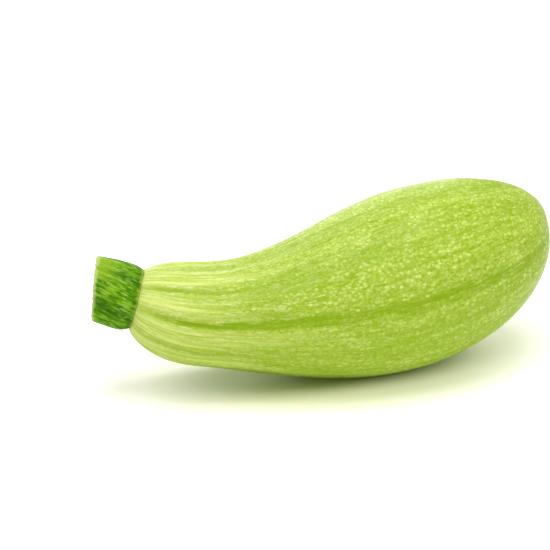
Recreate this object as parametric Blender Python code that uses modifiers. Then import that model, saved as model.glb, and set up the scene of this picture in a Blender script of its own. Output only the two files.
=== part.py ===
# Zucchini lying on its side: a pale, curved fruit with a swollen blossom end, and its cut stem.
# Metres, +Z up, +X from the stem towards the blossom end. The origin is the middle of the object's
# box at floor level. Both pieces are turned about Z first, and then laid along the fruit's curve.

import math

import bpy
import numpy as np

# Fruit, with lengths measured along its own curve from the stem's seat
FRUIT_LENGTH = 0.1582
SEAT_RADIUS = 0.0109
NECK_RADIUS = 0.0176
WIDEST_RADIUS = 0.0319
SHOULDER_LENGTH = 0.0234
SHOULDER_FULLNESS = 0.8
SWELL_START = 0.0156
WIDEST_AT = 0.0997
TIP_LENGTH = FRUIT_LENGTH - WIDEST_AT

# The curve lies in a plane that leans back from upright, and it bends most near the stem
CURVE_BEND = math.radians(37.7)
PITCH_AT_STEM = math.radians(-19.4)
CURVE_LEAN = math.radians(35)

# How far the stem's seat and the blossom scar lie above the middle line of the curve
SEAT_RISE = 0.0017
SCAR_RISE = 0.0035
SCAR_RISE_POWER = 8

# Shallow ribs, with one furrow at FURROW_ANGLE round from the upper side
RIB_COUNT = 10
RIB_HEIGHT_NECK = 0.00045
RIB_HEIGHT_WIDEST = 0.0002
FURROW_ANGLE = math.radians(-114)

# Scar where the flower dropped off: a shallow dish with a low button in its middle
SCAR_RIM_RADIUS = 0.0062
SCAR_FLOOR_RADIUS = 0.0042
SCAR_DEPTH = 0.0008
BUTTON_FOOT_RADIUS = 0.0033
BUTTON_TOP_RADIUS = 0.0013
BUTTON_HEIGHT = 0.0006

# Flat pressed by the fruit's own weight
REST_DEPTH = 0.0007

# Stem, with heights measured from its foot
STEM_LENGTH = 0.0144
STEM_FOOT_RADIUS = 0.0104
STEM_BARREL_RADIUS = 0.0114
STEM_CUT_RADIUS = 0.0106
STEM_FOOT_HEIGHT = 0.0045
STEM_FOOT_POWER = 2.5
STEM_TAPER_POWER = 1.5
STEM_EDGE_ROUNDING = 0.0005
STEM_DISH = 0.0004
STEM_GAP = 0.0003
STEM_RISE = 0.0007

# Ridges of the stem, with their twist from foot to cut, and the slopes of the slanted cut
STEM_RIDGES = 5
STEM_RIDGE_HEIGHT = 0.0007
STEM_RIDGE_LEFT_AT_FOOT = 0.45
STEM_RIDGE_ANGLE = math.radians(-101)
STEM_TWIST = math.radians(20)
STEM_SLANT_UP = 0.126
STEM_SLANT_SIDE = -0.124

# Facets: rings crowd towards the foot of each piece
FRUIT_SIDES = 60
FRUIT_BODY_RINGS = 26
FRUIT_TIP_RINGS = 12
STEM_SIDES = 50
STEM_RINGS = 9
RING_CROWDING = 1.5
SPINE_STEPS = 800
MERGE = 0.00001
SMOOTH_ANGLE = math.radians(50)

SKIN_COLOUR = (0.546, 0.658, 0.127)
SKIN_ROUGHNESS = 0.38
STEM_COLOUR = (0.091, 0.262, 0.017)
STEM_ROUGHNESS = 0.5


def clear_scene():
    for thing in list(bpy.data.objects):
        bpy.data.objects.remove(thing, do_unlink=True)


def new_collection(name):
    collection = bpy.data.collections.new(name)
    bpy.context.scene.collection.children.link(collection)
    return collection


def principled(name, colour, roughness):
    material = bpy.data.materials.new(name)
    material.use_nodes = True
    shader = material.node_tree.nodes["Principled BSDF"]
    shader.inputs["Base Color"].default_value = (*colour, 1.0)
    shader.inputs["Roughness"].default_value = roughness
    shader.inputs["Metallic"].default_value = 0.0
    return material


def turned(name, profile, sides, collection):
    """Turn a profile of (radius, height), listed from the top down, about Z into a closed mesh."""
    line_mesh = bpy.data.meshes.new(name + "_profile")
    edges = [(i, i + 1) for i in range(len(profile) - 1)]
    line_mesh.from_pydata([(r, 0.0, z) for r, z in profile], edges, [])
    line = bpy.data.objects.new(name + "_profile", line_mesh)
    collection.objects.link(line)
    screw = line.modifiers.new("Turn", "SCREW")
    screw.axis = "Z"
    screw.angle = 2.0 * math.pi
    screw.steps = sides
    screw.render_steps = sides
    screw.use_merge_vertices = True
    screw.merge_threshold = MERGE
    bpy.context.view_layer.update()
    evaluated = line.evaluated_get(bpy.context.evaluated_depsgraph_get())
    solid = bpy.data.meshes.new_from_object(evaluated)
    solid.name = name
    bpy.data.objects.remove(line, do_unlink=True)
    piece = bpy.data.objects.new(name, solid)
    collection.objects.link(piece)
    return piece


def points(piece):
    flat = np.empty(len(piece.data.vertices) * 3)
    piece.data.vertices.foreach_get("co", flat)
    return flat.reshape(-1, 3)


def set_points(piece, places):
    piece.data.vertices.foreach_set("co", places.ravel())
    piece.data.update()


def smooth_step(value):
    value = np.clip(value, 0.0, 1.0)
    return value * value * (3.0 - 2.0 * value)


def add_up(values, step):
    """Running integral of values by the trapezium rule."""
    return np.concatenate([[0.0], np.cumsum((values[1:] + values[:-1]) / 2.0 * step)])


def make_spine():
    """Return a function of the distance from the seat: centre, and directions along, up and side."""
    s, step = np.linspace(0.0, FRUIT_LENGTH, SPINE_STEPS, retstep=True)
    t = s / FRUIT_LENGTH
    pitch = PITCH_AT_STEM + CURVE_BEND * (2.0 * t - t * t)
    forward = add_up(np.cos(pitch), step)
    rise = add_up(np.sin(pitch), step)
    back = math.sin(CURVE_LEAN)
    upright = math.cos(CURVE_LEAN)

    def spine(distance):
        x = np.interp(distance, s, forward)
        h = np.interp(distance, s, rise)
        angle = np.interp(distance, s, pitch)
        centre = np.stack([x, h * back, h * upright], axis=-1)
        along = np.stack([np.cos(angle), np.sin(angle) * back, np.sin(angle) * upright], axis=-1)
        side = np.broadcast_to([0.0, upright, -back], along.shape)
        up = np.cross(along, side)
        to_seat = np.clip(1.0 - distance / SHOULDER_LENGTH, 0.0, 1.0)
        to_scar = np.clip((distance - WIDEST_AT) / TIP_LENGTH, 0.0, 1.0)
        lift = SEAT_RISE * to_seat ** 2 + SCAR_RISE * to_scar ** SCAR_RISE_POWER
        return centre + up * np.expand_dims(lift, -1), along, up, side

    return spine


def body_radius(s):
    """Radius between the seat and the widest place: a rounded shoulder, the neck, then the swelling."""
    shoulder = 1.0 - (1.0 - min(s / SHOULDER_LENGTH, 1.0)) ** 2
    neck = SEAT_RADIUS + (NECK_RADIUS - SEAT_RADIUS) * shoulder ** SHOULDER_FULLNESS
    swelling = max(0.0, (s - SWELL_START) / (WIDEST_AT - SWELL_START))
    return neck + (WIDEST_RADIUS - NECK_RADIUS) * (1.0 - math.cos(math.pi * swelling)) / 2.0


def fruit_profile():
    """From the blossom end to the seat: the scar's rings, the elliptical tip, then the body."""
    scar_rings = [BUTTON_TOP_RADIUS, (BUTTON_TOP_RADIUS + BUTTON_FOOT_RADIUS) / 2, BUTTON_FOOT_RADIUS,
                  SCAR_FLOOR_RADIUS, (SCAR_FLOOR_RADIUS + SCAR_RIM_RADIUS) / 2, SCAR_RIM_RADIUS]
    angles = [math.acos(r / WIDEST_RADIUS) for r in scar_rings]
    rim_angle = angles[-1]
    for ring in range(1, FRUIT_TIP_RINGS + 1):
        angles.append(rim_angle * (1.0 - ring / FRUIT_TIP_RINGS))
    profile = [(0.0, FRUIT_LENGTH)]
    profile += [(WIDEST_RADIUS * math.cos(a), WIDEST_AT + TIP_LENGTH * math.sin(a)) for a in angles]
    for ring in reversed(range(FRUIT_BODY_RINGS)):
        s = WIDEST_AT * (ring / FRUIT_BODY_RINGS) ** RING_CROWDING
        profile.append((body_radius(s), s))
    profile.append((0.0, 0.0))
    return profile


def make_fruit(spine, collection):
    fruit = turned("fruit", fruit_profile(), FRUIT_SIDES, collection)
    local = points(fruit)
    s = local[:, 2]
    r = np.hypot(local[:, 0], local[:, 1])
    angle = np.arctan2(local[:, 0], local[:, 1])

    # Ribs reach full height halfway along the shoulder, and fade out over the tip
    swollen = smooth_step((s - SWELL_START) / (WIDEST_AT - SWELL_START))
    height = RIB_HEIGHT_NECK + (RIB_HEIGHT_WIDEST - RIB_HEIGHT_NECK) * swollen
    height = height * smooth_step(2.0 * s / SHOULDER_LENGTH) * smooth_step(1.5 * (FRUIT_LENGTH - s) / TIP_LENGTH)
    ribbed = r - height * np.cos(RIB_COUNT * (angle - FURROW_ANGLE))

    # Scar at the blossom end
    dish = SCAR_DEPTH * smooth_step((SCAR_RIM_RADIUS - r) / (SCAR_RIM_RADIUS - SCAR_FLOOR_RADIUS))
    button = BUTTON_HEIGHT * smooth_step((BUTTON_FOOT_RADIUS - r) / (BUTTON_FOOT_RADIUS - BUTTON_TOP_RADIUS))
    sunk = np.where(s > WIDEST_AT, dish - button, 0.0)

    centre, along, up, side = spine(s)
    outward = np.cos(angle)[:, None] * up + np.sin(angle)[:, None] * side
    set_points(fruit, centre + ribbed[:, None] * outward - sunk[:, None] * along)
    fruit.data.materials.append(principled("zucchini_skin", SKIN_COLOUR, SKIN_ROUGHNESS))
    return fruit


def stem_profile():
    """From the middle of the dished cut face, over its edge and down the barrel to the foot."""
    face_edge = STEM_CUT_RADIUS - STEM_EDGE_ROUNDING
    profile = [(face_edge * f, STEM_LENGTH - STEM_DISH * (1.0 - f * f)) for f in (0.0, 0.5, 0.85, 1.0)]
    for ring in range(STEM_RINGS + 1):
        h = (STEM_LENGTH - STEM_EDGE_ROUNDING) * (1.0 - ring / STEM_RINGS) ** RING_CROWDING
        taper = (STEM_BARREL_RADIUS - STEM_CUT_RADIUS) * (h / STEM_LENGTH) ** STEM_TAPER_POWER
        near_foot = max(0.0, 1.0 - h / STEM_FOOT_HEIGHT)
        tuck = (STEM_BARREL_RADIUS - STEM_FOOT_RADIUS) * near_foot ** STEM_FOOT_POWER
        profile.append((STEM_BARREL_RADIUS - taper - tuck, h))
    profile.append((0.0, 0.0))
    return profile


def make_stem(spine, collection):
    stem = turned("stem", stem_profile(), STEM_SIDES, collection)
    local = points(stem)
    h = local[:, 2]
    r = np.hypot(local[:, 0], local[:, 1])
    angle = np.arctan2(local[:, 1], local[:, 0])

    # Ridges, lowest at the foot and turned by the twist
    ridge_angle = STEM_RIDGE_ANGLE + STEM_TWIST * (h / STEM_LENGTH - 0.5)
    left = STEM_RIDGE_LEFT_AT_FOOT + (1.0 - STEM_RIDGE_LEFT_AT_FOOT) * smooth_step(2.0 * h / STEM_LENGTH)
    ridge = STEM_RIDGE_HEIGHT * left * np.cos(STEM_RIDGES * (angle - ridge_angle))
    r = r * (1.0 + ridge / STEM_CUT_RADIUS)

    # The slanted cut makes the stem longer on one side
    up_part = r * np.cos(angle)
    side_part = r * np.sin(angle)
    stretch = 1.0 + (STEM_SLANT_UP * up_part + STEM_SLANT_SIDE * side_part) / STEM_LENGTH
    out = STEM_GAP + h * stretch
    centre, along, up, side = spine(0.0)
    across = (up_part + STEM_RISE)[:, None] * up + side_part[:, None] * side
    set_points(stem, centre + across - out[:, None] * along)
    stem.data.materials.append(principled("cut_stem", STEM_COLOUR, STEM_ROUGHNESS))
    return stem


def lay_down(pieces):
    """Put the middle of the pieces' box over the origin, with the flat to be cut at floor level."""
    everything = np.concatenate([points(piece) for piece in pieces])
    low = everything.min(axis=0)
    high = everything.max(axis=0)
    shift = np.array([-(low[0] + high[0]) / 2, -(low[1] + high[1]) / 2, -low[2] - REST_DEPTH])
    for piece in pieces:
        set_points(piece, points(piece) + shift)
        piece.data.shade_smooth()
        piece.data.set_sharp_from_angle(angle=SMOOTH_ANGLE)


def cut_rest_flat(fruit, collection):
    bpy.ops.mesh.primitive_cube_add(size=FRUIT_LENGTH, location=(0.0, 0.0, -FRUIT_LENGTH / 2))
    cutter = bpy.context.object
    cutter.name = "floor_cutter"
    for owner in list(cutter.users_collection):
        owner.objects.unlink(cutter)
    collection.objects.link(cutter)
    cutter.hide_render = True
    cutter.display_type = "WIRE"
    cut = fruit.modifiers.new("Rest flat", "BOOLEAN")
    cut.operation = "DIFFERENCE"
    cut.object = cutter


def main():
    clear_scene()
    zucchini = new_collection("zucchini")
    cutters = new_collection("cutters")
    spine = make_spine()
    fruit = make_fruit(spine, zucchini)
    stem = make_stem(spine, zucchini)
    lay_down([fruit, stem])
    cut_rest_flat(fruit, cutters)


main()
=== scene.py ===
import math

import bpy
import numpy as np
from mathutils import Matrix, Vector


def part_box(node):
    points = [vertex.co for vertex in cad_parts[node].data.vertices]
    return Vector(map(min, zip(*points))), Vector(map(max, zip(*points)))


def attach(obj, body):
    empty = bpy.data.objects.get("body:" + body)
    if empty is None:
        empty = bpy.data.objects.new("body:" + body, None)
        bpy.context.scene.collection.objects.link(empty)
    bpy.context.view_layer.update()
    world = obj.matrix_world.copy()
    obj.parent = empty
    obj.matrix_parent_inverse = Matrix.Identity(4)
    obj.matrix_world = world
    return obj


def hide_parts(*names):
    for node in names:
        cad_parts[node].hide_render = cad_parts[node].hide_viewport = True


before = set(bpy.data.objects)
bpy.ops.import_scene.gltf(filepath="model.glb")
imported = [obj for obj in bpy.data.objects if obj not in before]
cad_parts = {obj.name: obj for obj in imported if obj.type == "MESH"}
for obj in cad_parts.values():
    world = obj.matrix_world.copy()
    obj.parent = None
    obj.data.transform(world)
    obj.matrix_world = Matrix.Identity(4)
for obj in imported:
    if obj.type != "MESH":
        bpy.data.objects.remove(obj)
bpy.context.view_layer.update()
print("frame loaded")


def deselectAll():
    if bpy.context.object and bpy.context.object.mode != "OBJECT":
        bpy.ops.object.mode_set(mode="OBJECT")
    bpy.ops.object.select_all(action="DESELECT")


def pickOnly(piece):
    deselectAll()
    piece.select_set(True)
    bpy.context.view_layer.objects.active = piece


def pushRings(name, rings, sides):
    # A filled circle is drawn up ring by ring: each ring is (radius, height)
    deselectAll()
    radius, height = rings[0]
    bpy.ops.mesh.primitive_circle_add(vertices=sides, radius=radius, fill_type="NGON",
                                      location=(0, 0, height))
    piece = bpy.context.object
    piece.name = name
    piece.data.name = name
    bpy.ops.object.transform_apply(location=True, rotation=True, scale=True)
    bpy.ops.object.mode_set(mode="EDIT")
    bpy.ops.mesh.select_all(action="SELECT")
    for newRadius, newHeight in rings[1:]:
        step = {"value": (0, 0, newHeight - height)}
        bpy.ops.mesh.extrude_region_move(TRANSFORM_OT_translate=step)
        grow = newRadius / radius
        bpy.ops.transform.resize(value=(grow, grow, 1), center_override=(0, 0, newHeight))
        radius, height = newRadius, newHeight
    bpy.ops.mesh.select_all(action="SELECT")
    bpy.ops.mesh.normals_make_consistent(inside=False)
    bpy.ops.object.mode_set(mode="OBJECT")
    return piece


def smoothByModifier(piece, levels):
    pickOnly(piece)
    rounder = piece.modifiers.new("rounder", "SUBSURF")
    rounder.levels = levels
    rounder.render_levels = levels
    bpy.ops.object.modifier_apply(modifier=rounder.name)


def finishFaces(piece):
    # Faces point outwards and are shaded smooth
    pickOnly(piece)
    bpy.ops.object.mode_set(mode="EDIT")
    bpy.ops.mesh.select_all(action="SELECT")
    bpy.ops.mesh.normals_make_consistent(inside=False)
    bpy.ops.object.mode_set(mode="OBJECT")
    bpy.ops.object.shade_smooth()


def readPoints(piece):
    flat = np.empty(len(piece.data.vertices) * 3)
    piece.data.vertices.foreach_get("co", flat)
    return flat.reshape(-1, 3)


def writePoints(piece, places):
    piece.data.vertices.foreach_set("co", places.ravel())
    piece.data.update()


def keepNumbers(piece, name, values):
    attribute = piece.data.attributes.new(name, "FLOAT", "POINT")
    attribute.data.foreach_set("value", values.astype(np.float32))


def keepVectors(piece, name, values):
    attribute = piece.data.attributes.new(name, "FLOAT_VECTOR", "POINT")
    attribute.data.foreach_set("vector", values.astype(np.float32).ravel())


def ease(value):
    value = np.clip(value, 0, 1)
    return value * value * (3 - 2 * value)


def addUp(values, step):
    # Running total by the trapezium rule
    return np.concatenate([[0], np.cumsum((values[1:] + values[:-1]) / 2 * step)])


def wavyRound(angle, waves, seed):
    # Uneven ripple that closes on itself, because each wave fits round a whole number of times
    dice = np.random.default_rng(seed)
    total = np.zeros_like(angle)
    power = 0
    for wave in waves:
        size = dice.uniform(0.5, 1)
        total = total + size * np.cos(wave * angle + dice.uniform(0, 2 * math.pi))
        power += size * size / 2
    return total / math.sqrt(power)


# Shape of the fruit, in metres and degrees, measured along its own curve from the stem's seat
fruitLook = {
    "length": 0.1582,
    "seatRadius": 0.0109,
    "neckRadius": 0.0176,
    "widestRadius": 0.0319,
    "shoulderLength": 0.0234,
    "shoulderFullness": 0.8,
    "swellStart": 0.0156,
    "widestAt": 0.0997,
    "bend": 37.7,                   # what the middle line turns through in all
    "pitchAtStem": -19.4,
    "lean": 35,                     # the curve's plane leans back from upright
    "seatRise": 0.0017,
    "scarRise": 0.0035,
    "scarRisePower": 8,
    "ribs": 10,
    "ribHeightNeck": 0.00045,
    "ribHeightWidest": 0.0002,
    "furrowAngle": -114,
    "driftUp": 0.06,                # the furrows wander round: a little one way before the bulb,
    "driftDown": 0.09,              # then the other way over it
    "creaseHeight": 0.00022,        # fine uneven creases that run from the stem over the shoulder
    "creaseStart": 0.007,
    "creaseEnd": 0.046,
    "creaseFade": 0.034,
    "dimpleHeight": 0.00006,        # slow unevenness of the whole skin
    "calmAtScar": 0.02,             # the dimples fade out over this length at the blossom end,
    "calmAtSeat": 0.01,             # and over this length at the stem
    "scarRim": 0.0062,
    "scarFloor": 0.0042,
    "scarDepth": 0.0008,
    "scarLip": 0.0005,
    "scarLipWidth": 0.0011,
    "scarLength": 0.01,             # the scar's marks stay this close to the blossom end
    "buttonFoot": 0.003,
    "buttonTop": 0.0012,
    "buttonHeight": 0.0016,
    "patternRadius": 0.032,
    "sides": 40,
    "seatRings": (0.25, 0.6, 0.88),
    "bodyRings": 14,
    "ringCrowding": 1.4,            # rings of the body crowd towards the stem
    "tipRings": 9,
    "tipEndRadius": 0.0085,
    "scarRings": (0.0072, 0.0062, 0.0053, 0.0043, 0.0032, 0.0021, 0.001),
    "rounding": 3,
    "curveSteps": 800,
}


def makeMiddleLine(look):
    s, step = np.linspace(0, look["length"], look["curveSteps"], retstep=True)
    t = s / look["length"]
    pitch = np.radians(look["pitchAtStem"] + look["bend"] * (2 * t - t * t))
    forward = addUp(np.cos(pitch), step)
    rise = addUp(np.sin(pitch), step)
    back = math.sin(math.radians(look["lean"]))
    upright = math.cos(math.radians(look["lean"]))

    def middleLine(distance):
        # Centre at this distance from the seat, and the directions along, up and to the side
        x = np.interp(distance, s, forward)
        h = np.interp(distance, s, rise)
        turn = np.interp(distance, s, pitch)
        centre = np.stack([x, h * back, h * upright], axis=-1)
        along = np.stack([np.cos(turn), np.sin(turn) * back, np.sin(turn) * upright], axis=-1)
        side = np.broadcast_to([0.0, upright, -back], along.shape)
        up = np.cross(along, side)
        toSeat = np.clip(1 - distance / look["shoulderLength"], 0, 1)
        toScar = np.clip((distance - look["widestAt"]) / (look["length"] - look["widestAt"]), 0, 1)
        lift = look["seatRise"] * toSeat ** 2 + look["scarRise"] * toScar ** look["scarRisePower"]
        return centre + up * np.expand_dims(lift, -1), along, up, side

    return middleLine


def bodyRadius(look, s):
    # Rounded shoulder, neck and swelling, then the elliptical tip
    seat = look["seatRadius"]
    shoulder = 1 - (1 - np.clip(s / look["shoulderLength"], 0, 1)) ** 2
    neck = seat + (look["neckRadius"] - seat) * shoulder ** look["shoulderFullness"]
    swelling = np.clip((s - look["swellStart"]) / (look["widestAt"] - look["swellStart"]), 0, 1)
    swollen = (1 - np.cos(math.pi * swelling)) / 2
    body = neck + (look["widestRadius"] - look["neckRadius"]) * swollen
    tip = np.clip((s - look["widestAt"]) / (look["length"] - look["widestAt"]), 0, 1)
    return np.where(s < look["widestAt"], body, look["widestRadius"] * np.sqrt(1 - tip * tip))


def furrowDrift(look, s):
    t = s / look["length"]
    oneWay = look["driftUp"] * np.exp(-((t - 0.42) / 0.16) ** 2)
    return oneWay - look["driftDown"] * ease((t - 0.5) / 0.35)


def ribHeights(look, angle, s):
    tipLength = look["length"] - look["widestAt"]
    swollen = ease((s - look["swellStart"]) / (look["widestAt"] - look["swellStart"]))
    height = look["ribHeightNeck"] + (look["ribHeightWidest"] - look["ribHeightNeck"]) * swollen
    height = height * ease(2 * s / look["shoulderLength"])
    height = height * ease(1.5 * (look["length"] - s) / tipLength)
    fromFurrow = angle - math.radians(look["furrowAngle"]) - furrowDrift(look, s)
    return -height * np.cos(look["ribs"] * fromFurrow)


def fruitRings(look):
    tipLength = look["length"] - look["widestAt"]
    widest = look["widestRadius"]
    rings = [(look["seatRadius"] * share, 0) for share in look["seatRings"]]
    for ring in range(look["bodyRings"]):
        s = look["widestAt"] * (ring / look["bodyRings"]) ** look["ringCrowding"]
        rings.append((float(bodyRadius(look, np.array(s))), s))
    tipEnd = math.acos(look["tipEndRadius"] / widest)
    turns = [tipEnd * ring / look["tipRings"] for ring in range(look["tipRings"] + 1)]
    turns += [math.acos(radius / widest) for radius in look["scarRings"]]
    for turn in turns:
        rings.append((widest * math.cos(turn), look["widestAt"] + tipLength * math.sin(turn)))
    return rings


def makeFruit(look, middleLine):
    piece = pushRings("zucchiniFruit", fruitRings(look), look["sides"])
    smoothByModifier(piece, look["rounding"])
    local = readPoints(piece)
    s = local[:, 2]
    r = np.hypot(local[:, 0], local[:, 1])
    angle = np.arctan2(local[:, 0], local[:, 1])
    widest = look["widestRadius"]
    tipLength = look["length"] - look["widestAt"]

    # The rounded cage is drawn out to the true outline, also over the blossom end
    share = ease((s - 0.001) / 0.003)
    onBody = r + share * (bodyRadius(look, s) - r)
    past = (s - look["widestAt"]) / tipLength
    reach = np.maximum(np.hypot(r / widest, past), 0.5)
    r = np.where(past > 0, r / reach, onBody)
    s = np.where(past > 0, look["widestAt"] + tipLength * past / reach, s)

    # Ribs, creases on the shoulder, and slow dimples over all of it
    nearStem = ease(s / look["creaseStart"]) * ease((look["creaseEnd"] - s) / look["creaseFade"])
    drift = 0.05 * np.sin(s / 0.017) + 0.03 * np.sin(s / 0.0061 + 1)
    creases = wavyRound(angle + drift, range(13, 34, 3), 4)
    creases = 0.65 * creases + 0.35 * wavyRound(angle - drift, range(36, 62, 5), 9)
    dimples = wavyRound(angle + s / 0.09, (3, 4, 7), 2) * np.sin(s / 0.011 + 2)
    dimples = dimples + wavyRound(angle - s / 0.07, (5, 6, 9), 3) * np.sin(s / 0.0073)
    calmTip = ease((look["length"] - s) / look["calmAtScar"])
    calmSeat = ease(s / look["calmAtSeat"])
    relief = ribHeights(look, angle, s)
    relief = relief + look["creaseHeight"] * nearStem * np.clip(creases, -2, 1.5)
    relief = relief + look["dimpleHeight"] * dimples * calmTip * calmSeat

    # Scar where the flower dropped off: an uneven lip, a dish, and a low dry button
    rScar = r / (1 + 0.05 * wavyRound(angle, (2, 3, 5), 6))
    inDish = ease((look["scarRim"] - rScar) / (look["scarRim"] - look["scarFloor"]))
    onButton = ease((look["buttonFoot"] - rScar) / (look["buttonFoot"] - look["buttonTop"]))
    onTop = np.clip(r / look["buttonTop"], 0, 1)
    dish = look["scarDepth"] * inDish
    button = look["buttonHeight"] * onButton
    button = button * (1 + 0.25 * wavyRound(angle, (3, 4, 7), 8) * onTop)
    lip = look["scarLip"] * np.exp(-((rScar - look["scarRim"]) / look["scarLipWidth"]) ** 2)
    atScar = s > look["length"] - look["scarLength"]
    sunk = np.where(atScar, dish - button - lip, 0)

    centre, along, up, side = middleLine(s)
    outward = np.cos(angle)[:, None] * up + np.sin(angle)[:, None] * side
    writePoints(piece, centre + (r + relief)[:, None] * outward - sunk[:, None] * along)

    # Places for the pattern: rows stay on the same side of the fruit and close round it
    narrowed = 0.35 + 0.65 * np.sqrt(np.clip(r / widest, 0, 1))
    rowRadius = look["patternRadius"] * np.where(past > 0, narrowed, 1)
    skinPlace = np.stack([rowRadius * np.sin(angle), rowRadius * np.cos(angle), s], axis=-1)
    keepVectors(piece, "skinPlace", skinPlace)
    keepNumbers(piece, "fromStem", np.clip(s / look["length"], 0, 1))
    keepNumbers(piece, "furrowDrift", furrowDrift(look, s))
    keepNumbers(piece, "crease", np.clip(0.5 + 0.25 * creases, 0, 1))
    keepNumbers(piece, "scar", np.where(atScar, np.clip(1 - rScar / look["scarRim"], -0.4, 1), -0.4))
    return piece


def plainBox(look, middleLine):
    # Box of the bare outline, so that the piece can be put where the frame's node is
    alongSteps = np.linspace(0, look["length"], 300)
    s, angle = np.meshgrid(alongSteps, np.radians(np.arange(0, 360, 3)))
    centre, along, up, side = middleLine(s)
    r = bodyRadius(look, s) + ribHeights(look, angle, s)
    spots = centre + (r * np.cos(angle))[..., None] * up + (r * np.sin(angle))[..., None] * side
    spots = spots.reshape(-1, 3)
    return spots.min(axis=0), spots.max(axis=0)


middleLine = makeMiddleLine(fruitLook)
fruitPiece = makeFruit(fruitLook, middleLine)
plainLow, plainHigh = plainBox(fruitLook, middleLine)
nodeLow, nodeHigh = (np.array(corner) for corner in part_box("fruit"))
shift = np.array([nodeHigh[0] - plainHigh[0],
                  (nodeLow[1] + nodeHigh[1] - plainLow[1] - plainHigh[1]) / 2,
                  nodeHigh[2] - plainHigh[2]])
places = readPoints(fruitPiece) + shift
places[:, 2] = np.maximum(places[:, 2], 0)      # the flat that its own weight presses
writePoints(fruitPiece, places)
print("fruit modelled:", len(fruitPiece.data.polygons), "faces")


# Shape of the stem, in metres and degrees, with heights measured from its foot
stemLook = {
    "length": 0.0144,
    "footRadius": 0.0104,
    "barrelRadius": 0.0114,
    "cutRadius": 0.0106,
    "footHeight": 0.0045,
    "footPower": 2.5,
    "taperPower": 1.5,
    "edgeRounding": 0.0005,
    "dish": 0.0006,
    "gap": 0.0003,
    "sunkFoot": 0.0006,             # how far the foot reaches into the fruit, so that no gap shows
    "rise": 0.0007,
    "ridges": 5,
    "ridgeHeight": 0.0007,
    "ridgeLeftAtFoot": 0.45,
    "ridgeAngle": -101,
    "twist": 20,
    "slantUp": 0.126,               # slopes of the slanted cut
    "slantSide": -0.124,
    "strandHeight": 0.00012,
    "cutRoughness": 0.00009,
    "sides": 60,
    "footRings": (0.3, 0.8, 1),
    "rings": 13,
    "ringCrowding": 1.3,            # rings of the barrel crowd towards the foot
    "faceRings": (1, 0.93, 0.82, 0.66, 0.46, 0.25, 0.08),
    "rounding": 2,
}


def stemRings(look):
    rounding = look["edgeRounding"]
    barrel = look["barrelRadius"]
    rings = [(look["footRadius"] * share, -look["sunkFoot"]) for share in look["footRings"]]
    for ring in range(look["rings"] + 1):
        h = (look["length"] - rounding) * (ring / look["rings"]) ** look["ringCrowding"]
        taper = (barrel - look["cutRadius"]) * (h / look["length"]) ** look["taperPower"]
        nearFoot = max(0, 1 - h / look["footHeight"])
        tuck = (barrel - look["footRadius"]) * nearFoot ** look["footPower"]
        rings.append((barrel - taper - tuck, h))
    face = look["cutRadius"] - rounding
    rings.append((face + rounding * 0.6, look["length"] - rounding * 0.3))
    rings += [(face * share, look["length"]) for share in look["faceRings"]]
    return rings


def makeStem(look, middleLine):
    piece = pushRings("zucchiniStem", stemRings(look), look["sides"])
    smoothByModifier(piece, look["rounding"])
    local = readPoints(piece)
    h = local[:, 2].copy()
    r = np.hypot(local[:, 0], local[:, 1])
    angle = np.arctan2(local[:, 1], local[:, 0])
    towardCut = np.clip(h / look["length"], 0, 1)
    outer = np.clip(r / look["cutRadius"], 0, 1)

    # Five rounded ridges with narrow furrows between them, and strands along them
    twist = math.radians(look["twist"]) * (towardCut - 0.5)
    turned = angle - math.radians(look["ridgeAngle"]) - twist
    left = look["ridgeLeftAtFoot"] + (1 - look["ridgeLeftAtFoot"]) * ease(2 * towardCut)
    hump = 2 * np.abs(np.cos(look["ridges"] * turned / 2)) ** 0.75 - 1
    ridge = look["ridgeHeight"] * left * (0.75 * hump + 0.25 * np.cos(look["ridges"] * turned))
    lesser = np.clip(wavyRound(turned, (7, 9, 13, 16), 5), -2, 1)
    swayed = turned + 0.03 * np.sin(towardCut * 9)
    strands = np.clip(wavyRound(swayed, range(22, 60, 4), 11), -2, 1)
    ridge = ridge + look["strandHeight"] * (0.8 * lesser + 0.5 * strands) * left
    r = r * (1 + ridge * outer / look["cutRadius"])

    # Cut face: dished, with a lip, and rough with cut strands
    onFace = ease((h - look["length"] + 0.0008) / 0.0006)
    inFace = np.clip(1 - outer, 0, 1)
    cutStrands = np.clip(wavyRound(angle, range(19, 48, 4), 13), -1.5, 1.5)
    rough = look["cutRoughness"] * ease(inFace / 0.06) * cutStrands * ease((0.5 - inFace) / 0.4)
    h = h - (look["dish"] * ease(inFace / 0.55) + rough) * onFace

    # The slanted cut makes the stem longer on one side
    upPart = r * np.cos(angle)
    sidePart = r * np.sin(angle)
    lean = 1 + (look["slantUp"] * upPart + look["slantSide"] * sidePart) / look["length"]
    out = look["gap"] + np.where(h > 0, h * lean, h)
    centre, along, up, side = middleLine(np.array(0.0))
    across = (upPart + look["rise"])[:, None] * up + sidePart[:, None] * side
    writePoints(piece, centre + across - out[:, None] * along + shift)

    reach = look["barrelRadius"] * (1 + (outer - 1) * onFace)
    stemPlace = np.stack([np.cos(turned) * reach, np.sin(turned) * reach, h], axis=-1)
    keepVectors(piece, "stemPlace", stemPlace)
    keepNumbers(piece, "towardCut", towardCut)
    keepNumbers(piece, "furrow", np.clip(0.5 - 0.5 * hump, 0, 1))
    keepNumbers(piece, "cutFace", onFace)
    keepNumbers(piece, "faceRadius", outer)
    return piece


stemPiece = makeStem(stemLook, middleLine)
print("stem modelled:", len(stemPiece.data.polygons), "faces")

finishFaces(fruitPiece)
finishFaces(stemPiece)


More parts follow.
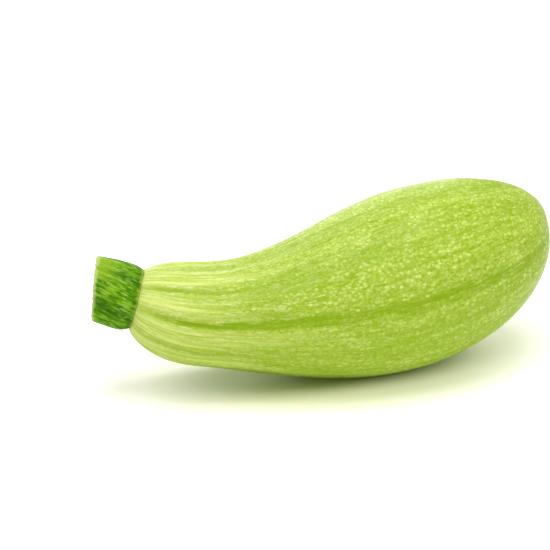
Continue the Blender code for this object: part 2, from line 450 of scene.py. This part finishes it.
def addNode(tree, kind, values=None, **settings):
    # values maps an input's name or number to a value, or to the socket that feeds it
    made = tree.nodes.new(kind)
    for name, setting in settings.items():
        setattr(made, name, setting)
    for key, value in (values or {}).items():
        if isinstance(value, bpy.types.NodeSocket):
            tree.links.new(value, made.inputs[key])
        else:
            made.inputs[key].default_value = value
    return made


def compute(tree, operation, first, second=0.0, clamp=False):
    values = {0: first, 1: second}
    return addNode(tree, "ShaderNodeMath", values, operation=operation, use_clamp=clamp).outputs[0]


def plus(tree, first, second, clamp=False):
    return compute(tree, "ADD", first, second, clamp)


def minus(tree, first, second):
    return compute(tree, "SUBTRACT", first, second)


def times(tree, first, second, clamp=False):
    return compute(tree, "MULTIPLY", first, second, clamp)


def larger(tree, first, second):
    return compute(tree, "MAXIMUM", first, second)


def computeVector(tree, operation, *values):
    inputs = dict(enumerate(values))
    return addNode(tree, "ShaderNodeVectorMath", inputs, operation=operation).outputs[0]


def rangeTo(tree, value, low, high, newLow=0.0, newHigh=1.0, kind="SMOOTHSTEP"):
    values = {"Value": value, "From Min": low, "From Max": high, "To Min": newLow, "To Max": newHigh}
    return addNode(tree, "ShaderNodeMapRange", values, interpolation_type=kind).outputs["Result"]


def spread(tree, value, newLow, newHigh):
    # A value between 0 and 1 goes evenly from newLow to newHigh
    return rangeTo(tree, value, 0.0, 1.0, newLow, newHigh, "LINEAR")


def mixColours(tree, amount, first, second):
    # A colour is a socket, or red, green and blue
    values = {0: amount}
    for key, colour in ((6, first), (7, second)):
        values[key] = colour if isinstance(colour, bpy.types.NodeSocket) else (*colour, 1)
    return addNode(tree, "ShaderNodeMix", values, data_type="RGBA").outputs[2]


def addNoise(tree, place, scale, detail):
    values = {"Vector": place, "Scale": scale, "Detail": detail}
    return addNode(tree, "ShaderNodeTexNoise", values).outputs[0]


def readAttribute(tree, name, output="Fac"):
    return addNode(tree, "ShaderNodeAttribute", attribute_name=name).outputs[output]


def startGroup(name, numbers):
    # A pattern group reads a place and some numbers, and puts out a mask
    group = bpy.data.node_groups.new(name, "ShaderNodeTree")
    group.interface.new_socket("Place", in_out="INPUT", socket_type="NodeSocketVector")
    for label, value in numbers.items():
        socket = group.interface.new_socket(label, in_out="INPUT", socket_type="NodeSocketFloat")
        socket.default_value = value
    group.interface.new_socket("Mask", in_out="OUTPUT", socket_type="NodeSocketFloat")
    entry = group.nodes.new("NodeGroupInput")
    leave = group.nodes.new("NodeGroupOutput")
    return group, entry.outputs, leave.inputs


def countCells(tree, place, size, stretch):
    # The place measured in cells of this size, which are stretched along the piece
    scale = compute(tree, "DIVIDE", 1.0, size)
    scaled = addNode(tree, "ShaderNodeVectorMath", {0: place, "Scale": scale}, operation="SCALE")
    shrink = addNode(tree, "ShaderNodeCombineXYZ",
                     {0: 1.0, 1: 1.0, 2: compute(tree, "DIVIDE", 1.0, stretch)})
    return computeVector(tree, "MULTIPLY", scaled.outputs[0], shrink.outputs[0])


def makeFleckGroup():
    # Soft-edged flecks, one to a cell, of uneven size, with some cells left empty
    group, given, result = startGroup("scattered flecks", {
        "Cell Size": 0.002, "Stretch": 1.0, "Fleck Size": 0.4, "Filled Share": 0.8, "Softness": 0.2})
    laid = countCells(group, given["Place"], given["Cell Size"], given["Stretch"])
    # Rows slide past each other, so that they don't line up into rings
    across = computeVector(group, "MULTIPLY", laid, (1, 1, 0.03))
    slide = times(group, addNoise(group, across, 0.1, 1.0), 3.0)
    bend = addNode(group, "ShaderNodeTexNoise", {"Vector": laid, "Scale": 0.9, "Detail": 1.0})
    nudged = computeVector(group, "MULTIPLY_ADD", bend.outputs["Color"], (0.3, 0.3, 0.3), laid)
    lift = addNode(group, "ShaderNodeCombineXYZ", {2: slide})
    bent = computeVector(group, "ADD", nudged, lift.outputs[0])
    cells = addNode(group, "ShaderNodeTexVoronoi", {"Vector": bent, "Scale": 1.0})
    chance = addNode(group, "ShaderNodeSeparateColor", {"Color": cells.outputs["Color"]}).outputs
    size = times(group, spread(group, chance[0], 0.45, 1.15), given["Fleck Size"])
    filled = compute(group, "LESS_THAN", chance[1], given["Filled Share"])
    inner = minus(group, size, given["Softness"])
    shape = rangeTo(group, cells.outputs["Distance"], size, inner)
    strength = spread(group, chance[2], 0.55, 1.0)
    mask = times(group, times(group, shape, filled), strength, True)
    group.links.new(mask, result["Mask"])
    return group


def makeStreakGroup():
    # Long thin streaks that run with the piece and fade in and out
    group, given, result = startGroup("lengthwise streaks", {
        "Width": 0.001, "Length": 12.0, "Start": 0.5, "End": 0.7})
    laid = countCells(group, given["Place"], given["Width"], given["Length"])
    noise = addNode(group, "ShaderNodeTexNoise",
                    {"Vector": laid, "Scale": 0.5, "Detail": 3.0, "Roughness": 0.55})
    mask = rangeTo(group, noise.outputs[0], given["Start"], given["End"])
    group.links.new(mask, result["Mask"])
    return group


fleckGroup = makeFleckGroup()
streakGroup = makeStreakGroup()


def addFlecks(tree, place, cell, stretch, size, filled, softness):
    values = {"Place": place, "Cell Size": cell, "Stretch": stretch, "Fleck Size": size,
              "Filled Share": filled, "Softness": softness}
    return addNode(tree, "ShaderNodeGroup", values, node_tree=fleckGroup).outputs["Mask"]


def addStreaks(tree, place, width, length, start, end):
    values = {"Place": place, "Width": width, "Length": length, "Start": start, "End": end}
    return addNode(tree, "ShaderNodeGroup", values, node_tree=streakGroup).outputs["Mask"]


def startMaterial(name):
    material = bpy.data.materials.new(name)
    material.use_nodes = True
    tree = material.node_tree
    return material, tree, tree.nodes["Principled BSDF"]


# Skin of the fruit
skinLook = {
    "body": (0.475, 0.622, 0.076),
    "deep": (0.275, 0.435, 0.004),
    "vein": (0.248, 0.405, 0.0),
    "fleck": (0.77, 0.88, 0.26),
    "dash": (0.90, 0.94, 0.47),
    "cream": (0.78, 0.855, 0.27),
    "creamDeep": (0.47, 0.62, 0.06),
    "blush": (0.60, 0.50, 0.14),
    "scarDry": (0.42, 0.33, 0.16),
    "scarDark": (0.10, 0.07, 0.035),
    "bellyAngle": -165,             # the underside is plainer round this angle, and darker with painted shade
    "bellyPaintedShade": 0.16,
    "bellyFlecks": 0.66,
    "bellyCream": 0.92,
    # Flecks: cell size, stretch, fleck size, filled share, softness
    "smallFlecks": (0.00092, 1.3, 0.68, 0.9, 0.4),
    "middleFlecks": (0.0013, 1.2, 0.56, 0.95, 0.24),
    "largeFlecks": (0.0036, 1.1, 0.2, 0.6, 0.12),
    "dashes": (0.0012, 3.6, 0.56, 0.5, 0.3),
    "smallStrength": 0.55,
    "largeStrength": 0.8,
    "fleckStrength": (0.65, 0.9),   # at the stem, and on the bulb
    "dashStrength": (0.6, 0.1),
    # Streaks: width, length in widths, and where the noise starts and ends to show
    "bands": (0.006, 6.0, 0.35, 0.7),
    "rows": (0.0009, 10.0, 0.4, 0.56),
    "marks": (0.00045, 3.0, 0.45, 0.58),
    "creamStreaks": (0.0022, 8.0, 0.3, 0.7),
    "creamLines": (0.00085, 12.0, 0.4, 0.58),
    "veinEdges": (0.0011, 4.0, 0.3, 0.7),
    "veinLines": (0.0005, 22.0, 0.44, 0.55),
    "veinStrengths": (0.012, 12.0, 0.35, 0.65),
    "bandStrength": 0.5,
    "rowGapStrength": 0.45,
    "grainScale": 1050.0,
    "grainStrength": (0.6, 0.25),   # of its dark side, and of its pale side
    "blushStrength": 0.3,
    "haloStrength": 0.4,
    "veinStrength": 0.95,
    "roughness": 0.38,
    "specular": 0.06,
    "coat": 0.1,
    "coatRoughness": 0.18,
    "glowThrough": 0.12,
    "glowRadius": (0.5, 0.7, 0.2),
    "glowDepth": 0.003,
    "poreScale": 1100.0,
    "bumpStrength": 0.6,
    "bumpDepth": 0.0001,
}


def makeSkin(look):
    material, tree, shader = startMaterial("speckledSkin")
    place = readAttribute(tree, "skinPlace", "Vector")
    fromStem = readAttribute(tree, "fromStem")
    crease = readAttribute(tree, "crease")
    scar = readAttribute(tree, "scar")
    onBulb = rangeTo(tree, fromStem, 0.12, 0.5)

    # The underside, at and below the main furrow, is plainer than the rest and darkened with painted
    # shade
    parts = addNode(tree, "ShaderNodeSeparateXYZ", {0: place}).outputs
    angle = compute(tree, "ARCTAN2", parts[0], parts[1])
    fromBelly = minus(tree, angle, math.radians(look["bellyAngle"]))
    belly = rangeTo(tree, compute(tree, "COSINE", fromBelly), 0.4, 0.8)

    # Body colour drifts in long soft bands, and thin dark lines part the rows of flecks
    bands = times(tree, addStreaks(tree, place, *look["bands"]), look["bandStrength"])
    # painted shade: the underside is drawn further towards the deep colour
    bands = plus(tree, bands, times(tree, belly, look["bellyPaintedShade"]))
    colour = mixColours(tree, bands, look["body"], look["deep"])
    rows = addStreaks(tree, place, *look["rows"])
    between = minus(tree, 1.0, rows)
    marks = addStreaks(tree, place, *look["marks"])
    darker = times(tree, marks, spread(tree, between, 0.4, 0.95))
    darker = larger(tree, darker, times(tree, between, look["rowGapStrength"]))
    colour = mixColours(tree, darker, colour, look["deep"])
    grain = addNoise(tree, place, look["grainScale"], 1.0)
    darkGrain = rangeTo(tree, grain, 0.52, 0.36, 0.0, look["grainStrength"][0])
    colour = mixColours(tree, darkGrain, colour, look["deep"])

    # Pale flecks of several sizes in rows, drawn out into dashes towards the stem
    small = times(tree, addFlecks(tree, place, *look["smallFlecks"]), look["smallStrength"])
    middle = addFlecks(tree, place, *look["middleFlecks"])
    large = times(tree, addFlecks(tree, place, *look["largeFlecks"]), look["largeStrength"])
    dashes = addFlecks(tree, place, *look["dashes"])
    paleGrain = rangeTo(tree, grain, 0.5, 0.66, 0.0, look["grainStrength"][1])
    flecks = larger(tree, larger(tree, small, middle), paleGrain)
    flecks = times(tree, flecks, spread(tree, rows, 0.5, 1.0))
    flecks = times(tree, flecks, rangeTo(tree, onBulb, 0.0, 1.0, *look["fleckStrength"]))
    flecks = larger(tree, flecks, large)
    bare = times(tree, belly, rangeTo(tree, fromStem, 0.6, 0.85, 1.0, 0.25))
    plainer = spread(tree, bare, 1.0, look["bellyFlecks"])
    flecks = times(tree, flecks, plainer)
    dashes = times(tree, dashes, rangeTo(tree, onBulb, 0.0, 1.0, *look["dashStrength"]))
    dashes = times(tree, dashes, plainer)

    # The furrows are found from the angle round the fruit, which wanders a little
    wander = times(tree, minus(tree, addNoise(tree, place, 45.0, 3.0), 0.5), 0.13)
    wander = minus(tree, wander, readAttribute(tree, "furrowDrift"))
    furrowAngle = math.radians(fruitLook["furrowAngle"])
    fromFurrow = minus(tree, plus(tree, angle, wander), furrowAngle)
    wave = compute(tree, "COSINE", times(tree, fromFurrow, float(fruitLook["ribs"])))

    # Cream at the stem: pale on the ribs, greener in the furrows, drawn with fine lines
    creamEdge = minus(tree, addStreaks(tree, place, *look["creamStreaks"]), 0.5)
    creamEdge = plus(tree, fromStem, times(tree, creamEdge, 0.22))
    cream = rangeTo(tree, creamEdge, 0.36, 0.02)
    creamShare = minus(tree, 0.92, times(tree, rangeTo(tree, wave, -0.3, 0.95), 0.6))
    creamShare = times(tree, creamShare, spread(tree, belly, 1.0, look["bellyCream"]))
    lines = times(tree, addStreaks(tree, place, *look["creamLines"]), 0.65)
    lines = plus(tree, lines, times(tree, crease, 0.35))
    creamColour = mixColours(tree, lines, look["creamDeep"], look["cream"])
    colour = mixColours(tree, times(tree, cream, creamShare), colour, creamColour)
    blush = times(tree, rangeTo(tree, fromStem, 0.028, 0.006), rangeTo(tree, lines, 0.75, 0.3))
    colour = mixColours(tree, times(tree, blush, look["blushStrength"]), colour, look["blush"])

    # Green veins, each of its own strength: solid at the neck, broken into thin lines on the bulb
    uneven = minus(tree, addStreaks(tree, place, *look["veinEdges"]), 0.5)
    uneven = times(tree, uneven, rangeTo(tree, onBulb, 0.0, 1.0, 0.24, 0.35))
    slim = rangeTo(tree, fromStem, 0.1, 0.6, 0.8, 0.66)
    core = rangeTo(tree, plus(tree, wave, uneven), slim, 0.96)
    halo = rangeTo(tree, wave, 0.3, 1.0)
    broken = addStreaks(tree, place, *look["veinLines"])
    broken = larger(tree, broken, rangeTo(tree, fromStem, 0.5, 0.2, 0.45, 0.95))
    ownStrength = spread(tree, addStreaks(tree, place, *look["veinStrengths"]), 0.15, 0.55)
    mainVein = rangeTo(tree, compute(tree, "COSINE", fromFurrow), math.cos(0.3), math.cos(0.1))
    fadeIn = rangeTo(tree, fromStem, 0.02, 0.09)
    fadeOut = rangeTo(tree, fromStem, 1.0, 0.9)
    ownStrength = times(tree, larger(tree, ownStrength, mainVein), times(tree, fadeIn, fadeOut))
    veins = times(tree, times(tree, core, broken), ownStrength)
    halo = times(tree, times(tree, halo, ownStrength), look["haloStrength"])
    colour = mixColours(tree, halo, colour, look["deep"])
    colour = mixColours(tree, times(tree, veins, look["veinStrength"]), colour, look["vein"])
    offVeins = minus(tree, 0.8, times(tree, veins, 0.72))
    colour = mixColours(tree, times(tree, flecks, offVeins), colour, look["fleck"])
    colour = mixColours(tree, times(tree, dashes, offVeins), colour, look["dash"])

    # Scar: pale ring, dry dish, dark button
    dry = rangeTo(tree, scar, 0.0, 0.25)
    dark = rangeTo(tree, scar, 0.55, 0.8)
    colour = mixColours(tree, rangeTo(tree, scar, -0.3, 0.0, 0.0, 0.5), colour, look["cream"])
    colour = mixColours(tree, dry, colour, look["scarDry"])
    colour = mixColours(tree, dark, colour, look["scarDark"])
    tree.links.new(colour, shader.inputs["Base Color"])

    # Gloss varies, and the flecks and pores stand out a little while the veins lie lower
    rough = addNoise(tree, place, 260.0, 3.0)
    rough = rangeTo(tree, rough, 0.3, 0.7, look["roughness"] - 0.07, look["roughness"] + 0.09)
    rough = plus(tree, rough, times(tree, dry, 0.35), True)
    tree.links.new(rough, shader.inputs["Roughness"])
    pores = addNoise(tree, place, look["poreScale"], 2.0)
    height = plus(tree, times(tree, flecks, 0.5), times(tree, pores, 0.5))
    height = minus(tree, height, times(tree, veins, 0.5))
    bump = addNode(tree, "ShaderNodeBump", {"Strength": look["bumpStrength"],
                                            "Distance": look["bumpDepth"], "Height": height})
    tree.links.new(bump.outputs[0], shader.inputs["Normal"])
    shader.inputs["Specular IOR Level"].default_value = look["specular"]
    shader.inputs["Subsurface Weight"].default_value = look["glowThrough"]
    shader.inputs["Subsurface Radius"].default_value = look["glowRadius"]
    shader.inputs["Subsurface Scale"].default_value = look["glowDepth"]
    shader.inputs["Coat Weight"].default_value = look["coat"]
    shader.inputs["Coat Roughness"].default_value = look["coatRoughness"]
    return material


fruitPiece.data.materials.clear()
fruitPiece.data.materials.append(makeSkin(skinLook))
print("skin made")


# Surface of the stem
stemSkinLook = {
    "ridge": (0.175, 0.415, 0.0),
    "furrow": (0.025, 0.12, 0.0),
    "fleck": (0.34, 0.56, 0.06),
    "yellow": (0.36, 0.58, 0.02),
    "cut": (0.55, 0.66, 0.24),
    "cutRing": (0.36, 0.52, 0.12),
    # painted shade where the stem meets the fruit
    "footPaintedShade": (0.03, 0.09, 0.0),
    "tooth": (0.38, 0.55, 0.08),
    # painted light on one side and painted shade on the next, at these angles round the stem
    "paintedLightAngle": 40,
    "paintedShadeAngle": 100,
    "paintedLightStrength": 0.6,
    "paintedShadeStrength": 0.55,
    "toothStrength": 0.6,
    "cutEdgeStrength": 0.65,
    # Streaks: width, length in widths, and where the noise starts and ends to show
    "strands": (0.0009, 9.0, 0.4, 0.65),
    "cracks": (0.0005, 4.0, 0.46, 0.56),
    "crackStrength": 0.65,
    # Flecks: cell size, stretch, fleck size, filled share, softness
    "flecks": (0.00082, 3.4, 0.6, 0.85, 0.25),
    "grainScale": 1500.0,
    "roughness": 0.5,
    "specular": 0.09,
    "glowThrough": 0.05,
    "glowDepth": 0.002,
    "bumpStrength": 0.6,
    "bumpDepth": 0.00015,
}


def sideMask(tree, place, angle):
    # 1 on the side of the stem at this angle, 0 a quarter turn from it
    aim = math.radians(angle)
    radius = stemLook["barrelRadius"]
    values = {0: place, 1: (math.cos(aim) / radius, math.sin(aim) / radius, 0)}
    return addNode(tree, "ShaderNodeVectorMath", values, operation="DOT_PRODUCT").outputs["Value"]


def makeStemSkin(look):
    material, tree, shader = startMaterial("ribbedStem")
    place = readAttribute(tree, "stemPlace", "Vector")
    towardCut = readAttribute(tree, "towardCut")
    furrow = readAttribute(tree, "furrow")
    cutFace = readAttribute(tree, "cutFace")
    faceRadius = readAttribute(tree, "faceRadius")

    # Dark furrows and strands, cracks, and pale flecks drawn out along the stem
    strands = addStreaks(tree, place, *look["strands"])
    deep = larger(tree, rangeTo(tree, furrow, 0.25, 0.85, 0.0, 0.8), times(tree, strands, 0.6))
    colour = mixColours(tree, deep, look["ridge"], look["furrow"])
    cracks = times(tree, addStreaks(tree, place, *look["cracks"]), look["crackStrength"])
    colour = mixColours(tree, cracks, colour, look["furrow"])
    flecks = addFlecks(tree, place, *look["flecks"])
    flecks = times(tree, flecks, minus(tree, 0.9, times(tree, deep, 0.5)))
    colour = mixColours(tree, flecks, colour, look["fleck"])

    # Painted light: yellower on one side towards the cut; painted shade: darker on the next side,
    # along the top
    ragged = addNoise(tree, place, 260.0, 2.0)
    blot = times(tree, ragged, 0.35)
    paintedLightSide = plus(tree, sideMask(tree, place, look["paintedLightAngle"]), blot)
    paintedShadeSide = plus(tree, sideMask(tree, place, look["paintedShadeAngle"]), blot)
    dark = rangeTo(tree, paintedShadeSide, 0.95, 1.2, 0.0, look["paintedShadeStrength"])
    colour = mixColours(tree, dark, colour, look["furrow"])
    yellow = times(tree, rangeTo(tree, paintedLightSide, 0.95, 1.2), rangeTo(tree, towardCut, 0.3, 0.8))
    colour = mixColours(tree, times(tree, yellow, look["paintedLightStrength"]), colour, look["yellow"])

    # Painted shade darkens the foot where it meets the fruit, more away from the lit side; pale
    # teeth show where the neck's ridges reach it, and it is pale along the cut edge
    paintedFootShade = times(tree, rangeTo(tree, towardCut, 0.16, 0.0),
                 rangeTo(tree, paintedLightSide, 0.7, -0.2, 0.3, 0.9))
    colour = mixColours(tree, paintedFootShade, colour, look["footPaintedShade"])
    teeth = minus(tree, towardCut, rangeTo(tree, strands, 0.1, 0.9, 0.0, 0.05))
    teeth = rangeTo(tree, teeth, 0.03, -0.02, 0.0, look["toothStrength"])
    colour = mixColours(tree, teeth, colour, look["tooth"])
    edge = plus(tree, towardCut, rangeTo(tree, ragged, 0.3, 0.7, -0.03, 0.03))
    edge = rangeTo(tree, edge, 0.91, 0.97, 0.0, look["cutEdgeStrength"])
    colour = mixColours(tree, edge, colour, look["cut"])

    # Cut face: blotchy inside, paler towards its rim
    blotches = rangeTo(tree, addNoise(tree, place, 700.0, 3.0), 0.4, 0.62)
    cutColour = mixColours(tree, blotches, look["cutRing"], look["cut"])
    paleRim = rangeTo(tree, faceRadius, 0.55, 0.8, 0.0, 0.5)
    cutColour = mixColours(tree, paleRim, cutColour, look["cut"])
    colour = mixColours(tree, rangeTo(tree, cutFace, 0.2, 0.8), colour, cutColour)
    tree.links.new(colour, shader.inputs["Base Color"])

    rough = rangeTo(tree, strands, 0.0, 1.0, look["roughness"], look["roughness"] + 0.15)
    tree.links.new(rough, shader.inputs["Roughness"])
    grain = addNoise(tree, place, look["grainScale"], 3.0)
    height = plus(tree, times(tree, grain, 0.6), times(tree, strands, -0.6))
    bump = addNode(tree, "ShaderNodeBump", {"Strength": look["bumpStrength"],
                                            "Distance": look["bumpDepth"], "Height": height})
    tree.links.new(bump.outputs[0], shader.inputs["Normal"])
    shader.inputs["Specular IOR Level"].default_value = look["specular"]
    shader.inputs["Subsurface Weight"].default_value = look["glowThrough"]
    shader.inputs["Subsurface Scale"].default_value = look["glowDepth"]
    return material


stemPiece.data.materials.clear()
stemPiece.data.materials.append(makeStemSkin(stemSkinLook))
print("stem surface made")

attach(fruitPiece, "root")
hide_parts("fruit")
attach(stemPiece, "root")
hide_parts("stem")


# Floor, lights and camera
studioLook = {
    "azimuth": -15.15,
    "elevation": 23.47,
    "aim": (-0.01977, 0.0, 0.03883),
    "distance": 0.50565,
    "lens": 95,
    "worldStrength": 0.38,
    "lights": {
        # name: place, aim, width, depth, watts, and whether it lights or only mirrors
        "overheadSoft": ((0.0, -0.02, 0.8), (0, 0, 0.02), 0.6, 0.5, 4.35, True),
        "frontSoft": ((-0.15, -0.62, 0.98), (0, 0, 0.03), 1.6, 1.2, 3.7, True),
        "backPanel": ((-0.1, 0.95, 0.45), (0, 0, 0.04), 1.3, 0.85, 9.0, False),
    },
    "floorSize": 6,
    "floorRoughness": 0.4,
    "floorSpecular": 0.08,
    "floorPaintedShadow": (0.80, 0.86, 0.36),    # painted shadow under the zucchini, olive as if green light fell back from it onto the floor
    "floorFar": (0.95, 0.95, 0.95),
    "glowNear": (1.0, 0.96, 0.72),
    "glowFar": (1, 1, 1),
    "nearGlow": 0.34,                   # painted light: the floor glows, brighter away from the zucchini, which draws the edge of its shadow
    "farGlow": 0.46,
    "glowAsLight": 0.46,                # what the fruit gets of that glow
    # Ovals round the zucchini: how much its length is squeezed, and the shift along it
    "paintedShadowOval": (0.55, -0.003),
    "eyeOval": (0.3, 0.0),
    "lightOval": (0.42, 0.012),
    # Where the change starts and ends, as a distance from the oval's middle
    "paintedShadowEdge": (0.010, 0.042),
    "nearGlowEdge": (0.0115, 0.023),
    "farGlowEdge": (0.034, 0.08),
    "whiteEdge": (0.022, 0.06),
    "lightEdge": (0.02, 0.085),
}


def fromOval(tree, place, squeeze, offset):
    # Distance from the middle of the floor, measured as if the zucchini were shorter
    spot = computeVector(tree, "MULTIPLY_ADD", place, (squeeze, 1, 1), (offset, 0, 0))
    return addNode(tree, "ShaderNodeVectorMath", {0: spot}, operation="LENGTH").outputs["Value"]


def makeFloor(look):
    deselectAll()
    bpy.ops.mesh.primitive_plane_add(size=look["floorSize"], location=(0, 0, 0))
    floor = bpy.context.object
    floor.name = "studioFloor"
    material, tree, shader = startMaterial("paleFloor")
    shader.inputs["Roughness"].default_value = look["floorRoughness"]
    shader.inputs["Specular IOR Level"].default_value = look["floorSpecular"]
    place = addNode(tree, "ShaderNodeTexCoord").outputs["Object"]
    # Painted shadow: the floor's own colour is darker and olive close under the zucchini
    outsidePaintedShadow = rangeTo(tree, fromOval(tree, place, *look["paintedShadowOval"]), *look["paintedShadowEdge"])
    paintedShadowColour = mixColours(tree, outsidePaintedShadow, look["floorPaintedShadow"], look["floorFar"])
    tree.links.new(paintedShadowColour, shader.inputs["Base Color"])

    # Painted light: the floor's glow starts close to the zucchini for the eye, and further out as
    # light
    away = fromOval(tree, place, *look["eyeOval"])
    further = fromOval(tree, place, *look["lightOval"])
    seen = addNode(tree, "ShaderNodeLightPath").outputs["Is Camera Ray"]
    nearGlow = rangeTo(tree, away, *look["nearGlowEdge"], 0.0, look["nearGlow"])
    farGlow = rangeTo(tree, away, *look["farGlowEdge"], 0.0, look["farGlow"])
    asLight = rangeTo(tree, further, *look["lightEdge"], 0.0, look["glowAsLight"])
    strength = spread(tree, seen, asLight, plus(tree, nearGlow, farGlow))
    tree.links.new(strength, shader.inputs["Emission Strength"])
    white = rangeTo(tree, away, *look["whiteEdge"])
    glow = mixColours(tree, white, look["glowNear"], look["glowFar"])
    tree.links.new(glow, shader.inputs["Emission Color"])
    floor.data.materials.append(material)


def makeLights(look):
    for name, (place, aim, width, depth, watts, lightsUp) in look["lights"].items():
        light = bpy.data.lights.new(name, "AREA")
        light.shape = "RECTANGLE"
        light.size = width
        light.size_y = depth
        light.energy = watts
        holder = bpy.data.objects.new(name, light)
        holder.location = place
        holder.rotation_euler = (Vector(aim) - Vector(place)).to_track_quat("-Z", "Y").to_euler()
        holder.visible_diffuse = lightsUp
        bpy.context.scene.collection.objects.link(holder)
    # The room is white to the eye, and dimmer as light
    world = bpy.data.worlds.new("softRoom")
    world.use_nodes = True
    tree = world.node_tree
    room = tree.nodes["Background"]
    room.inputs["Color"].default_value = (1, 1, 1, 1)
    seen = addNode(tree, "ShaderNodeLightPath").outputs["Is Camera Ray"]
    tree.links.new(spread(tree, seen, look["worldStrength"], 1.0), room.inputs["Strength"])
    bpy.context.scene.world = world


def makeCamera(look):
    azimuth = math.radians(look["azimuth"])
    elevation = math.radians(look["elevation"])
    flat = math.cos(elevation)
    back = Vector((math.sin(azimuth) * flat, -math.cos(azimuth) * flat, math.sin(elevation)))
    camera = bpy.data.cameras.new("photoView")
    camera.lens = look["lens"]
    camera.sensor_width = 36
    camera.clip_start = 0.01
    holder = bpy.data.objects.new("photoView", camera)
    holder.location = Vector(look["aim"]) + back * look["distance"]
    holder.rotation_euler = back.to_track_quat("Z", "Y").to_euler()
    bpy.context.scene.collection.objects.link(holder)
    bpy.context.scene.camera = holder


makeFloor(studioLook)
makeLights(studioLook)
makeCamera(studioLook)
bpy.context.scene.view_settings.view_transform = "Standard"
print("studio ready")

bpy.context.view_layer.update()
